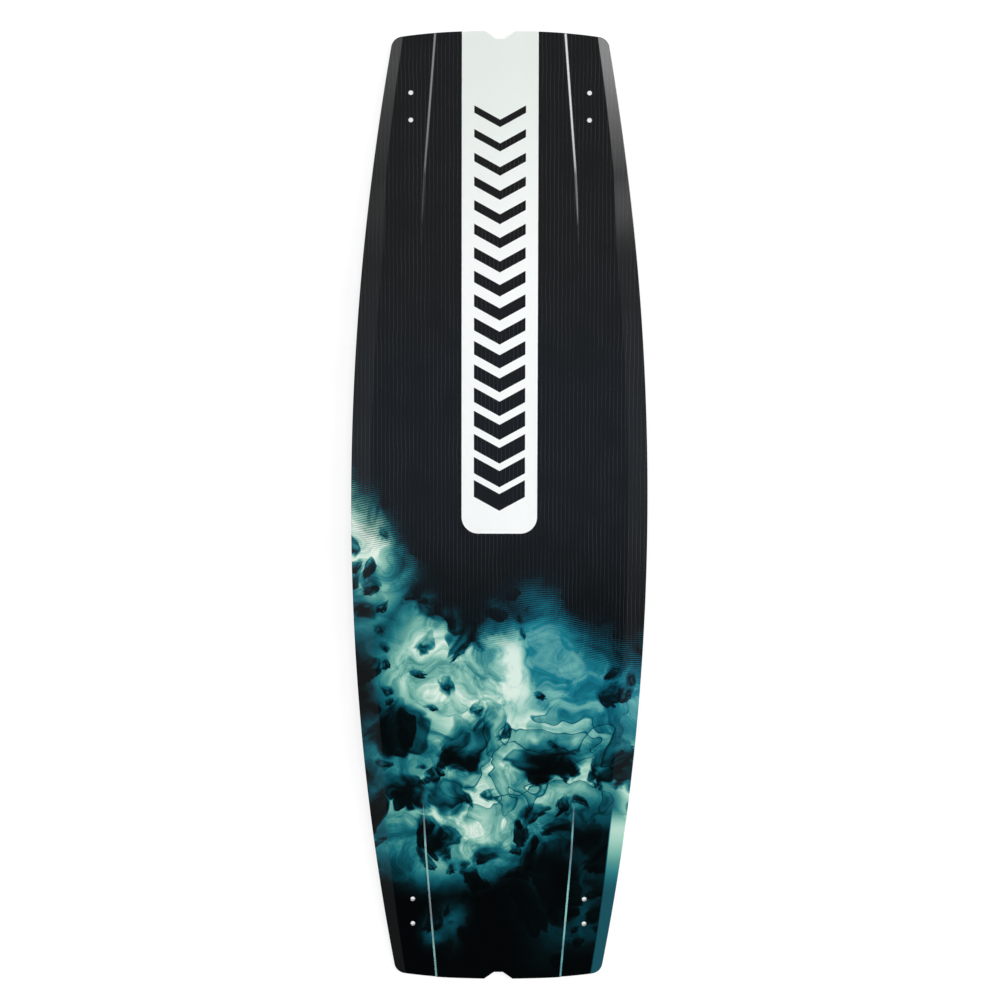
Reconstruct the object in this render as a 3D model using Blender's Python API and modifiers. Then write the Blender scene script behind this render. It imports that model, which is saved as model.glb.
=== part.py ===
"""Twin-tip kiteboard: a wood core with ABS rails between fibre laminates and plastic sheets.

The board lies deck down on its two tips, with the base up. X runs across it, Y along it and Z up,
and the origin is on the ground under its centre. All sizes are in metres.
"""

import math

import bmesh
import bpy
from mathutils import Matrix, Vector

# Driving dimensions
LENGTH = 1.38
WIDTH = 0.4245
ROCKER = 0.030
CENTRE_THICKNESS = 0.0115
TIP_THICKNESS = 0.0075

# Plan outline
RAIL_TAPER = 0.295  # share of the half width that is gone at the tips
TIP_DROP = 0.0086  # how far the tip edge has curved back ...
TIP_DROP_AT = 0.142  # ... at this distance from the centre line
TIP_POWER = 2.5
CORNER_RADIUS = 0.017
NOTCH_MOUTH = 0.042
NOTCH_FLOOR = 0.013
NOTCH_DEPTH = 0.0108
NOTCH_RADIUS = 0.003

# Base relief, as (distance from the tip, size) stations
STEP_PLACES = ((0.0, 0.0904), (0.195, 0.1054), (0.30, 0.1104))
STEP_DEPTHS = ((0.20, 0.0018), (0.32, 0.0))
BEVEL_WIDTHS = ((0.0, 0.014), (0.195, 0.020), (0.30, 0.028))
STEP_WALL = 0.002
BEVEL_SLOPE = 0.09
CONCAVE = 0.0008
DECK_BEVEL = 0.0014

# Layers, counted from each face inwards
SHEET = 0.0005
LAMINATE = 0.0005
GAP = 0.0003
LAMINATE_START = SHEET + GAP
LAMINATE_END = LAMINATE_START + LAMINATE
CORE_START = LAMINATE_END + GAP

# Core and its edges
STRIPS = 9
STRIP_PITCH = 0.045
RAIL_WIDTH = 0.009
TIP_RAIL_DEPTH = 0.030

# Fin fixings
FIN_X = 0.126
FIN_FROM_TIP = (0.086, 0.124)
FIN_HOLE_RADIUS = 0.0033
FIN_PLUG_RADIUS = 0.009

# Threaded inserts for the foot pads and the grab handle
BINDING_X = 0.080
BINDING_Y = 0.325
BINDING_PITCH = 0.025
BINDING_ROWS = 4
HANDLE_Y = 0.100
BARREL_RADIUS = 0.005
FLANGE_RADIUS = 0.009
FLANGE_THICKNESS = 0.0016
THREAD_RADIUS = 0.0025
THREAD_FLOOR = 0.002
MOUTH_DEPTH = 0.0001  # the barrel stops this far under the deck's surface

# Resolution
ROWS = 17  # with this count each foot's inserts all come through one flat facet of the deck
RAIL_STATIONS = 12
TIP_STATIONS = 5
ARC_STEPS = 5
FIN_HOLE_SIDES = 16
INSERT_SIDES = 12

# Worked out from the above
HALF_LENGTH = LENGTH / 2
PEAK = ROCKER + TIP_THICKNESS
CORE_END = HALF_LENGTH - TIP_RAIL_DEPTH
OVERHANG = 0.004  # how far an uncut slab runs past the outline
REACH = 0.02  # how far a cutter runs past the face that it cuts

WOOD = ((0.62, 0.47, 0.30), 0.70, 0.0)
BLACK_ABS = ((0.02, 0.02, 0.022), 0.45, 0.0)
GLASS_FIBRE = ((0.55, 0.60, 0.50), 0.35, 0.0)
PRINTED_SHEET = ((0.03, 0.10, 0.12), 0.15, 0.0)
DECK_SHEET = ((0.03, 0.03, 0.035), 0.40, 0.0)
WHITE_ABS = ((0.80, 0.80, 0.78), 0.45, 0.0)
STAINLESS = ((0.62, 0.62, 0.60), 0.30, 1.0)


def read_stations(place, stations):
    """Reads a (place, size) table along straight lines, level past both of its ends."""
    if place <= stations[0][0]:
        return stations[0][1]
    for (start, first), (end, last) in zip(stations, stations[1:]):
        if place <= end:
            return first + (last - first) * (place - start) / (end - start)
    return stations[-1][1]


# The board's lines and surfaces


def rail_x(y):
    return WIDTH / 2 * (1 - RAIL_TAPER * (y / HALF_LENGTH) ** 2)


def tip_y(x):
    return HALF_LENGTH - TIP_DROP * (abs(x) / TIP_DROP_AT) ** TIP_POWER


def step_x(y):
    return read_stations(HALF_LENGTH - abs(y), STEP_PLACES)


def bevel_x(y):
    return rail_x(y) - read_stations(HALF_LENGTH - abs(y), BEVEL_WIDTHS)


def base_relief(x, y):
    """Depth of the base below its rocker line: twin concaves, channel steps and rail bevels."""
    x, step = abs(x), step_x(y)
    if x < step:
        depth = CONCAVE * math.sin(math.pi * x / step) ** 2
    else:
        depth = read_stations(HALF_LENGTH - abs(y), STEP_DEPTHS) * min(1, (x - step) / STEP_WALL)
    return depth + BEVEL_SLOPE * max(0, x - bevel_x(y))


def base_z(x, y):
    return PEAK - ROCKER * (y / HALF_LENGTH) ** 2 - base_relief(x, y)


def thickness(y):
    return CENTRE_THICKNESS + (TIP_THICKNESS - CENTRE_THICKNESS) * (y / HALF_LENGTH) ** 2


def deck_z(x, y):
    """The deck is flat across and rises over the rail bevels, most at mid-length."""
    square = (y / HALF_LENGTH) ** 2
    edge = max(0, abs(x) - bevel_x(y)) / (rail_x(y) - bevel_x(y))
    return PEAK - ROCKER * square - thickness(y) + DECK_BEVEL * max(0, 1 - square) * edge


def base_normal(y):
    """Outward direction of a panel of the base, which slopes only along the board."""
    return Vector((0, 2 * ROCKER * y / HALF_LENGTH**2, 1)).normalized()


def deck_normal(y):
    arch = ROCKER + TIP_THICKNESS - CENTRE_THICKNESS
    return Vector((0, -2 * arch * y / HALF_LENGTH**2, -1)).normalized()


# Plan outlines, anticlockwise


def fillet(before, corner, after, radius):
    """The arc that rounds one corner of an outline, as a list of points."""
    back = (before - corner).normalized()
    ahead = (after - corner).normalized()
    half = back.angle(ahead) / 2
    start = corner + back * radius / math.tan(half)
    centre = corner + (back + ahead).normalized() * radius / math.sin(half)
    turn = math.copysign(math.pi - 2 * half, ahead.cross(back))
    return [
        centre + Matrix.Rotation(turn * i / ARC_STEPS, 2) @ (start - centre)
        for i in range(ARC_STEPS + 1)
    ]


def tip_corner():
    """Where the rail line and the tip line would meet without their fillet."""
    y = HALF_LENGTH
    for _ in range(8):
        y = tip_y(rail_x(y))
    return Vector((rail_x(y), y))


def half_tip():
    """The right half of the tip, from the rail at CORE_END to the notch floor."""
    rail = Vector((rail_x(CORE_END), CORE_END))
    corner = tip_corner()
    mouth = Vector((NOTCH_MOUTH / 2, tip_y(NOTCH_MOUTH / 2)))
    floor = Vector((NOTCH_FLOOR / 2, HALF_LENGTH - NOTCH_DEPTH))
    edge_start = corner.x - CORNER_RADIUS
    spacing = (edge_start - mouth.x) / TIP_STATIONS
    edge_places = [edge_start - i * spacing for i in range(TIP_STATIONS)]
    edge = [Vector((x, tip_y(x))) for x in edge_places]
    return [
        rail,
        *fillet(rail, corner, edge[0], CORNER_RADIUS),
        *edge,
        *fillet(edge[-1], mouth, floor, NOTCH_RADIUS),
        *fillet(mouth, floor, Vector((0, floor.y)), NOTCH_RADIUS),
    ]


def tip_outline():
    """The end of the board beyond CORE_END, with its notch."""
    right = half_tip()
    return right + [Vector((-p.x, p.y)) for p in reversed(right)]


def rail_line(inset, end):
    """The right-hand rail line from -end to end, moved inwards by inset."""
    places = [CORE_END * i / RAIL_STATIONS for i in range(RAIL_STATIONS)] + [end]
    places = [-y for y in reversed(places[1:])] + places
    return [Vector((rail_x(y) - inset, y)) for y in places]


def turned(points):
    """The same points at the opposite side and end of the board."""
    return [-p for p in points]


def board_outline():
    side = rail_line(0, CORE_END)[1:-1]
    return side + tip_outline() + turned(side) + turned(tip_outline())


def rail_outline():
    end = CORE_END - GAP
    return rail_line(0, end) + rail_line(RAIL_WIDTH, end)[::-1]


def core_outline():
    side = rail_line(RAIL_WIDTH + GAP, CORE_END - GAP)
    return side + turned(side)


# Making objects


def make_collection(name, parent):
    made = bpy.data.collections.new(name)
    parent.children.link(made)
    return made


def place(name, mesh, home, matrix=None):
    made = bpy.data.objects.new(name, mesh)
    if matrix is not None:
        made.matrix_world = matrix
    home.objects.link(made)
    return made


def place_cutter(name, mesh, home, matrix=None):
    made = place(name, mesh, home, matrix)
    made.hide_render = True
    made.display_type = "WIRE"
    return made


def mesh_from(bm, name):
    bmesh.ops.recalc_face_normals(bm, faces=bm.faces)
    mesh = bpy.data.meshes.new(name)
    bm.to_mesh(mesh)
    bm.free()
    return mesh


def frame_along(origin, direction):
    """A placement at origin whose Z axis points along direction and whose X axis lies across."""
    across = Vector((1, 0, 0))
    turn = Matrix((across, direction.cross(across), direction)).transposed()
    return Matrix.Translation(origin) @ turn.to_4x4()


def base_columns(y):
    """Where the columns of a base slab cross y: centre, concaves, channel steps and bevels."""
    step = step_x(y)
    right = [step / 2, step, step + STEP_WALL, bevel_x(y), rail_x(y) + OVERHANG]
    return [-x for x in reversed(right)] + [0] + right


def deck_columns(y):
    right = [bevel_x(y), rail_x(y) + OVERHANG]
    return [-x for x in reversed(right)] + right


def slab_mesh(name, columns_at, upper, lower):
    """A slab larger than the plan. Its faces are (surface, offset) pairs with the offset upwards."""
    columns = len(columns_at(0)) - 1
    bm = bmesh.new()
    bmesh.ops.create_grid(bm, x_segments=columns, y_segments=ROWS, size=1)
    for vert in bm.verts:
        y = vert.co.y * (HALF_LENGTH + OVERHANG)
        vert.co = columns_at(y)[round((vert.co.x + 1) / 2 * columns)], y, 0
    upper_verts = bm.verts[:]
    extruded = bmesh.ops.extrude_face_region(bm, geom=bm.faces[:])["geom"]
    lower_verts = [item for item in extruded if isinstance(item, bmesh.types.BMVert)]
    for verts, (surface, offset) in ((upper_verts, upper), (lower_verts, lower)):
        for vert in verts:
            vert.co.z = surface(vert.co.x, vert.co.y) + offset
    bmesh.ops.triangulate(bm, faces=bm.faces, quad_method="FIXED")
    return mesh_from(bm, name)


def prism_cutter(name, outline, home):
    """An upright cutter with a plan outline, tall enough for the whole board."""
    curve = bpy.data.curves.new(name, "CURVE")
    curve.dimensions = "2D"
    curve.fill_mode = "BOTH"
    curve.extrude = PEAK + REACH
    spline = curve.splines.new("POLY")
    spline.points.add(len(outline) - 1)
    for point, (x, y) in zip(spline.points, outline):
        point.co = x, y, 0, 1
    spline.use_cyclic_u = True
    drawn = place(name + "_curve", curve, home)
    graph = bpy.context.evaluated_depsgraph_get()
    filled = bpy.data.meshes.new_from_object(drawn.evaluated_get(graph))
    bpy.data.objects.remove(drawn)
    bm = bmesh.new()
    bm.from_mesh(filled)
    bmesh.ops.remove_doubles(bm, verts=bm.verts, dist=1e-6)
    return place_cutter(name, mesh_from(bm, name), home)


def box_cutter(name, low, high, home):
    """An upright box cutter over the board's whole length, from low to high across it."""
    bm = bmesh.new()
    bmesh.ops.create_cube(bm, size=2)
    bm.transform(Matrix.Diagonal(((high - low) / 2, LENGTH, PEAK + REACH, 1)))
    return place_cutter(name, mesh_from(bm, name), home, Matrix.Translation(((low + high) / 2, 0, 0)))


def rod_mesh(name, radius):
    bm = bmesh.new()
    bmesh.ops.create_cone(
        bm,
        cap_ends=True,
        segments=FIN_HOLE_SIDES,
        radius1=radius,
        radius2=radius,
        depth=CENTRE_THICKNESS + 2 * REACH,
    )
    return mesh_from(bm, name)


def turn_profile(made, profile):
    """Gives an object a Screw modifier that turns its (radius, height) profile round Z."""
    made.data.from_pydata(
        [(radius, 0, height) for radius, height in profile],
        [(i, i + 1) for i in range(len(profile) - 1)],
        [],
    )
    screw = made.modifiers.new("turn", "SCREW")
    screw.steps = screw.render_steps = INSERT_SIDES
    screw.use_merge_vertices = True
    screw.merge_threshold = 0.0001
    screw.use_smooth_shade = False


def boolean(made, operation, cutters):
    """Adds a Boolean with one cutter object, or with a collection of them."""
    modifier = made.modifiers.new(operation.lower(), "BOOLEAN")
    modifier.operation = operation
    if isinstance(cutters, bpy.types.Collection):
        modifier.operand_type = "COLLECTION"
        modifier.collection = cutters
    else:
        modifier.object = cutters


def material(name, look):
    colour, roughness, metallic = look
    made = bpy.data.materials.new(name)
    made.use_nodes = True
    shader = made.node_tree.nodes["Principled BSDF"]
    shader.inputs["Base Color"].default_value = *colour, 1
    shader.inputs["Roughness"].default_value = roughness
    shader.inputs["Metallic"].default_value = metallic
    return made


# Hardware


def end_name(y):
    return "front" if y > 0 else "rear"


def side_name(x):
    return "right" if x > 0 else "left"


def fin_places():
    """(name, centre, direction) of each fin screw hole, square to the base at its fin."""
    for end in (1, -1):
        for side in (-1, 1):
            middle = end * (HALF_LENGTH - sum(FIN_FROM_TIP) / 2)
            for number, from_tip in enumerate(FIN_FROM_TIP, 1):
                x, y = side * FIN_X, end * (HALF_LENGTH - from_tip)
                name = f"{end_name(y)}_{side_name(x)}_{number}"
                yield name, Vector((x, y, base_z(x, y))), base_normal(middle)


def insert_places():
    """(name, x, y) of each threaded insert, in rows from the tip towards the middle."""
    for end in (1, -1):
        for side in (-1, 1):
            for row in range(BINDING_ROWS):
                offset = ((BINDING_ROWS - 1) / 2 - row) * BINDING_PITCH
                name = f"binding_insert_{end_name(end)}_{side_name(side)}_{row + 1}"
                yield name, side * BINDING_X, end * (BINDING_Y + offset)
        yield f"handle_insert_{end_name(end)}", 0, end * HANDLE_Y


def insert_depth(x, y):
    """How deep an insert reaches from the deck: to one gap under the base laminate."""
    return thickness(y) - base_relief(x, y) - LAMINATE_END - 2 * GAP


def insert_profile(depth):
    """From the floor of the thread, up it, over the mouth and down the barrel and flange."""
    return (
        (0, THREAD_FLOOR - depth),
        (THREAD_RADIUS, THREAD_FLOOR - depth),
        (THREAD_RADIUS, -MOUTH_DEPTH),
        (BARREL_RADIUS, -MOUTH_DEPTH),
        (BARREL_RADIUS, FLANGE_THICKNESS - depth),
        (FLANGE_RADIUS, FLANGE_THICKNESS - depth),
        (FLANGE_RADIUS, -depth),
        (0, -depth),
    )


def pocket_profile(depth):
    """The stepped hole round an insert, open past both faces of the core."""
    shoulder = FLANGE_THICKNESS - depth + GAP
    return (
        (0, REACH),
        (BARREL_RADIUS + GAP, REACH),
        (BARREL_RADIUS + GAP, shoulder),
        (FLANGE_RADIUS + GAP, shoulder),
        (FLANGE_RADIUS + GAP, -depth - REACH),
        (0, -depth - REACH),
    )


def make_inserts(home, pockets, steel):
    for name, x, y in insert_places():
        matrix = frame_along(Vector((x, y, deck_z(x, y))), deck_normal(y))
        depth = insert_depth(x, y)
        insert = place(name, bpy.data.meshes.new(name), home, matrix)
        turn_profile(insert, insert_profile(depth))
        insert.data.materials.append(steel)
        pocket_name = name.replace("insert", "pocket")
        pocket = place_cutter(pocket_name, bpy.data.meshes.new(pocket_name), pockets, matrix)
        turn_profile(pocket, pocket_profile(depth))


def make_fin_plugs(home, core, cutters, holes, sockets, plastic):
    plug_rod = rod_mesh("fin_plug_rod", FIN_PLUG_RADIUS)
    socket_rod = rod_mesh("fin_socket_rod", FIN_PLUG_RADIUS + GAP)
    hole_rod = rod_mesh("fin_hole_rod", FIN_HOLE_RADIUS)
    for name, centre, direction in fin_places():
        matrix = frame_along(centre, direction)
        hole = place_cutter("fin_hole_" + name, hole_rod, holes, matrix)
        place_cutter("fin_socket_" + name, socket_rod, sockets, matrix)
        rod = place_cutter("fin_rod_" + name, plug_rod, cutters, matrix)
        plug = place("fin_plug_" + name, core.copy(), home)
        plug.data.materials.append(plastic)
        boolean(plug, "INTERSECT", rod)
        boolean(plug, "DIFFERENCE", hole)


# Layers


def make_base_layer(name, start, end, look, home, plan, holes):
    """A skin that lies between two depths under the base."""
    slab = slab_mesh(name, base_columns, (base_z, -start), (base_z, -end))
    slab.materials.append(look)
    layer = place(name, slab, home)
    boolean(layer, "INTERSECT", plan)
    boolean(layer, "DIFFERENCE", holes)


def make_deck_layer(name, start, end, look, home, plan, holes, pockets):
    """A skin that lies between two depths in from the deck."""
    slab = slab_mesh(name, deck_columns, (deck_z, end), (deck_z, start))
    slab.materials.append(look)
    layer = place(name, slab, home)
    boolean(layer, "INTERSECT", plan)
    boolean(layer, "DIFFERENCE", holes)
    boolean(layer, "DIFFERENCE", pockets)


def make_core(home, core, cutters, pockets, sockets, wood):
    plan = prism_cutter("core_plan", core_outline(), cutters)
    for number in range(STRIPS):
        middle = (number - (STRIPS - 1) / 2) * STRIP_PITCH
        half = (STRIP_PITCH - GAP) / 2
        strip = place(f"core_strip_{number + 1}", core.copy(), home)
        strip.data.materials.append(wood)
        boolean(strip, "INTERSECT", plan)
        box = box_cutter(f"strip_plan_{number + 1}", middle - half, middle + half, cutters)
        boolean(strip, "INTERSECT", box)
        boolean(strip, "DIFFERENCE", pockets)
        boolean(strip, "DIFFERENCE", sockets)


def make_rails(home, core, cutters, plastic):
    outlines = {
        "rail_right": rail_outline(),
        "rail_left": turned(rail_outline()),
        "tip_rail_front": tip_outline(),
        "tip_rail_rear": turned(tip_outline()),
    }
    for name, outline in outlines.items():
        rail = place(name, core.copy(), home)
        rail.data.materials.append(plastic)
        boolean(rail, "INTERSECT", prism_cutter(name + "_plan", outline, cutters))


def main():
    for old in list(bpy.data.objects):
        bpy.data.objects.remove(old)
    scene = bpy.context.scene.collection
    home = make_collection("kiteboard", scene)
    cutters = make_collection("cutters", scene)
    pockets = make_collection("insert_pockets", cutters)
    holes = make_collection("fin_holes", cutters)
    sockets = make_collection("fin_sockets", cutters)
    cutters.hide_render = True

    core = slab_mesh("core_slab", base_columns, (base_z, -CORE_START), (deck_z, CORE_START))
    make_inserts(home, pockets, material("insert_steel", STAINLESS))
    make_fin_plugs(home, core, cutters, holes, sockets, material("plug_plastic", WHITE_ABS))
    make_core(home, core, cutters, pockets, sockets, material("core_wood", WOOD))
    make_rails(home, core, cutters, material("rail_plastic", BLACK_ABS))
    bpy.data.meshes.remove(core)

    plan = prism_cutter("board_plan", board_outline(), cutters)
    glass = material("glass_laminate", GLASS_FIBRE)
    printed = material("base_sheet_print", PRINTED_SHEET)
    plain = material("deck_sheet_plastic", DECK_SHEET)
    make_base_layer("base_sheet", 0, SHEET, printed, home, plan, holes)
    make_base_layer("base_laminate", LAMINATE_START, LAMINATE_END, glass, home, plan, holes)
    make_deck_layer("deck_laminate", LAMINATE_START, LAMINATE_END, glass, home, plan, holes, pockets)
    make_deck_layer("deck_sheet", 0, SHEET, plain, home, plan, holes, pockets)


main()
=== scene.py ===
"""Looks of a twin-tip kiteboard that lies base side up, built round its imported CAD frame.

The frame's axes hold here too: X runs across the board, Y along it and Z up, in metres. The skins,
rails, fin plugs and inserts are replaced by finer pieces. The wood core keeps its CAD meshes.
"""

import math

import bpy
from mathutils import Matrix, Vector
from mathutils.geometry import delaunay_2d_cdt
from mathutils.kdtree import KDTree


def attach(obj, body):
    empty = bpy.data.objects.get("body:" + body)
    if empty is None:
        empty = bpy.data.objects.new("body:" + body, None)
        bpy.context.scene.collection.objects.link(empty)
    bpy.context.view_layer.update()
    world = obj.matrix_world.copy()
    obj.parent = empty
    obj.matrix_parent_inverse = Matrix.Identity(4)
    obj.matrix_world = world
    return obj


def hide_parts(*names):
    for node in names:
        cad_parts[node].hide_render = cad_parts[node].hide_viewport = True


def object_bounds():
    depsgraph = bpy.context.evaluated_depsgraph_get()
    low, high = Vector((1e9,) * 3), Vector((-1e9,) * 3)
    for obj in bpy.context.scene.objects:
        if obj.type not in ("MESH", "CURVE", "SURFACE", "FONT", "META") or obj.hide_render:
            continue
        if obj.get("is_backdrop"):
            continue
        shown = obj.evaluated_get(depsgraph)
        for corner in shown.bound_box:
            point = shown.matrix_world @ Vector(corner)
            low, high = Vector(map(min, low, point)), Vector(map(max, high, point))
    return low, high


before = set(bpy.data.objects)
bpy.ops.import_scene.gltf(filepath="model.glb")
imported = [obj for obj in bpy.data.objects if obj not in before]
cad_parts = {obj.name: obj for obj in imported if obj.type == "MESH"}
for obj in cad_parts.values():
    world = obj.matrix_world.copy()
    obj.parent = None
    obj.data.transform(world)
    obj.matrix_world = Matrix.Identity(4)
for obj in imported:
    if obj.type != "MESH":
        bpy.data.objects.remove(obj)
cad_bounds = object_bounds()

# The board's own sizes, as its CAD model has them. Tables give (distance from the tip, size there).
LENGTH = 1.38
WIDTH = 0.4245
ROCKER = 0.030
CENTRE_THICKNESS = 0.0115
TIP_THICKNESS = 0.0075
RAIL_TAPER = 0.295
TIP_DROP = 0.0086
TIP_DROP_AT = 0.142
TIP_POWER = 2.5
CORNER_RADIUS = 0.017
NOTCH_MOUTH = 0.042
NOTCH_FLOOR = 0.013
NOTCH_DEPTH = 0.0108
NOTCH_RADIUS = 0.003
STEP_PLACES = ((0.0, 0.0904), (0.195, 0.1054), (0.30, 0.1104))
STEP_DEPTHS = ((0.20, 0.0018), (0.32, 0.0))
BEVEL_WIDTHS = ((0.0, 0.014), (0.195, 0.020), (0.30, 0.028))
STEP_WALL = 0.002
BEVEL_SLOPE = 0.09
CONCAVE = 0.0008
DECK_BEVEL = 0.0014
RAIL_WIDTH = 0.009
TIP_RAIL_DEPTH = 0.030
FIN_X = 0.126
FIN_FROM_TIP = (0.086, 0.124)
FIN_HOLE_RADIUS = 0.0033
FIN_PLUG_RADIUS = 0.009
BINDING_X = 0.080
BINDING_Y = 0.325
BINDING_PITCH = 0.025
BINDING_ROWS = 4
HANDLE_Y = 0.100
BARREL_RADIUS = 0.005
FLANGE_RADIUS = 0.009
FLANGE_THICKNESS = 0.0016
INSERT_COVER = 0.0019  # from the base down to an insert

HALF_LENGTH = LENGTH / 2
PEAK = ROCKER + TIP_THICKNESS
CORE_END = HALF_LENGTH - TIP_RAIL_DEPTH

# Layers as they show: each reaches to within a hair of the next
SEAM = 0.00005
SHEET = 0.00075
LAMINATE = 0.0007
LAMINATE_START = SHEET + SEAM
CORE_START = LAMINATE_START + LAMINATE + SEAM

# Roundings
EDGE_RADIUS = 0.0005
STEP_FILLET = 0.5  # share of the step wall's width, which makes the wall one soft S
BEVEL_FILLET = 0.0008
GUARD = 0.0005  # from the end of a rounding to the next row of faces, which ends its shading

PLUG_CHAMFER = 0.0004
PLUG_RELIEF = 0.0001  # a plug stays this far clear of the laminates, which aren't quite square to it

# Threads of the inserts
MOUTH_DEPTH = 0.0001
THREAD_FLOOR = 0.002
THREAD_MINOR = 0.0025
THREAD_HEIGHT = 0.0005
THREAD_PITCH = 0.001
THREAD_CHAMFER = 0.0002
THREAD_ROW = 0.00018
BARREL_CHAMFER = 0.0003

# Resolution
SHARP_ANGLE = math.radians(40)
TURNED_SIDES = 40
ARC_STEPS = 14
RAIL_STATIONS = 90
RAIL_SPACING = 0.003  # between the core's end and the corner
TIP_STATIONS = 40
CORNER_PASSES = 8
GRID = 0.0075
GRID_CLEARANCE = 0.55  # share of the grid's spacing that its points keep from the lines
EDGE_STEPS = 4
HOLE_SIDES = 48
LINE_SPACING = 0.006
LINE_END = HALF_LENGTH + 0.001  # just past the tip, so that a line cuts right through the edge
STEP_LINES = 8
SAME_PLACE = 1e-6
LONGEST_MITER = 2.0  # times the inset

# Base print
PRINT_EDGE = 0.00025  # half the width over which one printed colour turns into the next
BAND_HALF_WIDTH = 0.054
BAND_END = -0.020
BAND_RADIUS = 0.024
CHEVRON_TOP = 0.578
CHEVRON_COUNT = 17
CHEVRON_PITCH = 0.0335
CHEVRON_HALF_WIDTH = 0.0365
CHEVRON_LEAN = 0.55
CHEVRON_THIN = 0.30
CHEVRON_BOLD = 0.74
CHEVRON_ENDS = 1e-4  # softness of the column's two ends, as a share of its length
BAND_SHADING = (0.30, 0.70)
INK_POOLS = (
    (1.30, (-0.235, 0.00), (0.17, 0.22)),
    (1.14, (-0.05, -0.22), (0.185, 0.17)),
    (0.85, (0.14, -0.20), (0.25, 0.23)),
    (1.10, (0.03, -0.35), (0.32, 0.15)),
    (1.05, (-0.06, -0.43), (0.22, 0.14)),
    # Painted reflection: this pool at the right rail near the rear lights the right bevel there
    (1.00, (0.22, -0.42), (0.08, 0.14)),
    (0.32, (-0.08, -0.60), (0.055, 0.06)),
    (0.16, (0.12, -0.57), (0.12, 0.15)),
)  # brightness, middle, reach
INK_PUFFS = (
    (7.0, 42, 0.55, 0.4),
    (9.0, 46, 0.55, 0.4),
    (14.0, 52, 0.50, 0.4),
    (18.0, 56, 0.50, 0.4),
    (32.0, 66, 0.45, 0.3),
)  # scale, seed, share of the cells that hold one, share of them gone where it's calm
PUFF_REACH = (0.12, 0.18)  # of the smallest puff, and how much more the largest has, in cells
PUFF_WOBBLE = 0.16
LUMP_DEPTH = 0.16
SMOKE_DEPTH = 0.72
CELL_SCATTER = 0.85
CELL_SOFTNESS = 0.3
CLOUD_FRONT = (-0.105, 0.10)  # how far forward the cloud reaches: in general, at the left rail
CALM_WATER = ((0.13, -0.17), (0.17, 0.22))  # middle and reach
STRAND_ROWS = ((-0.25, -0.31), (-0.48, -0.40))  # where the strands begin and end along the board
STRAND_START = (-0.14, 0.0)
INK_FADE = 0.12  # length over which the cloud fades into the black
BLUE_START = (-0.20, -0.02)
BLUE_END = (-0.38, -0.24)
# Painted reflection: the pale streak along the right rear bevel
RAIL_REFLECTION_EDGE = (0.0165, 0.013)  # in from the rail at the rear tip
RAIL_REFLECTION_LEAN = 0.031
# Painted reflection: the blue along the walls of the rear steps
STEP_REFLECTION_END = (0.26, 0.22)  # from the rear tip
PIN_PITCH = 0.0057
PIN_WANDER = 0.0020
WAVE_PITCH = 0.0027

# Other patterns
CLOTH_PITCH = 0.0022
STRIP_PITCH = 0.045  # of the core strips, as in the CAD model

# Studio
CAMERA_LEAN = math.radians(8)
CAMERA_ROLL = math.radians(0.125)
CAMERA_DISTANCE = 3.7506
CAMERA_LENS = 94.34
CAMERA_SHIFT = (0.0007, 0.0198)
FLOOR_SIZE = 40.0
FLOOR_Z = -0.0002
FLOOR_GLOW = 0.8
LOWEST_UP = 0.1  # keeps the slopes of the directions near the horizon finite
CEILING_BLENDS = ((-0.27, -0.11), (-0.06, 0.08))  # rear to middle, middle to front
WALL_START = (0.45, 0.95)
GLOW_LEFT = 1.15
GLOW_RIGHT = 5.6
GLOW_REST = 0.22
GLOW_INNER = (0.13, 0.18)
GLOW_OUTER = (0.50, 0.34)
GLOW_START = 0.07
GLOW_SPAN = 0.14
GLOW_POWER = 2.2
GLOW_LIMIT = 1.3
LAMP_EDGE = (0.13, 0.03)
LAMP_START = (0.48, 0.62)
SIDE_LAMPS = (
    (-1, 0.222, 6.6),
    (1, 0.222, 21.0),
    (-1, -0.41, 4.9),
    (1, -0.41, 3.6),
)  # side, place along the board, radiance


# The board's lines and surfaces


def read_stations(place, stations):
    """Reads a (place, size) table along straight lines, level past both of its ends."""
    if place <= stations[0][0]:
        return stations[0][1]
    for (start, first), (end, last) in zip(stations, stations[1:]):
        if place <= end:
            return first + (last - first) * (place - start) / (end - start)
    return stations[-1][1]


def soft_ramp(value, fillet):
    """Rises from 0 to 1 as value does, with its two corners rounded over a fillet each way."""
    if value < 0.5:
        return max(0, value + fillet) ** 2 / (4 * fillet) if value < fillet else value
    return 1 - soft_ramp(1 - value, fillet)


def soft_rise(value, fillet):
    """Zero below 0 and value above it, with the corner rounded over a fillet each way."""
    if value > fillet:
        return value
    return max(0, value + fillet) ** 2 / (4 * fillet)


def rail_x(y):
    return WIDTH / 2 * (1 - RAIL_TAPER * (y / HALF_LENGTH) ** 2)


def tip_y(x):
    return HALF_LENGTH - TIP_DROP * (abs(x) / TIP_DROP_AT) ** TIP_POWER


def step_x(y):
    return read_stations(HALF_LENGTH - abs(y), STEP_PLACES)


def bevel_x(y):
    return rail_x(y) - read_stations(HALF_LENGTH - abs(y), BEVEL_WIDTHS)


def step_depth(y):
    """The channel step's depth, with its run-out eased in and out."""
    full = STEP_DEPTHS[0][1]
    share = read_stations(HALF_LENGTH - abs(y), STEP_DEPTHS) / full
    return full * share * share * (3 - 2 * share)


def base_z(x, y):
    x, step = abs(x), step_x(y)
    wall = soft_ramp((x - step) / STEP_WALL, STEP_FILLET)
    hollow = CONCAVE * math.sin(math.pi * min(x, step) / step) ** 2
    bevel = BEVEL_SLOPE * soft_rise(x - bevel_x(y), BEVEL_FILLET)
    return PEAK - ROCKER * (y / HALF_LENGTH) ** 2 - hollow - step_depth(y) * wall - bevel


def thickness(y):
    return CENTRE_THICKNESS + (TIP_THICKNESS - CENTRE_THICKNESS) * (y / HALF_LENGTH) ** 2


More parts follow.
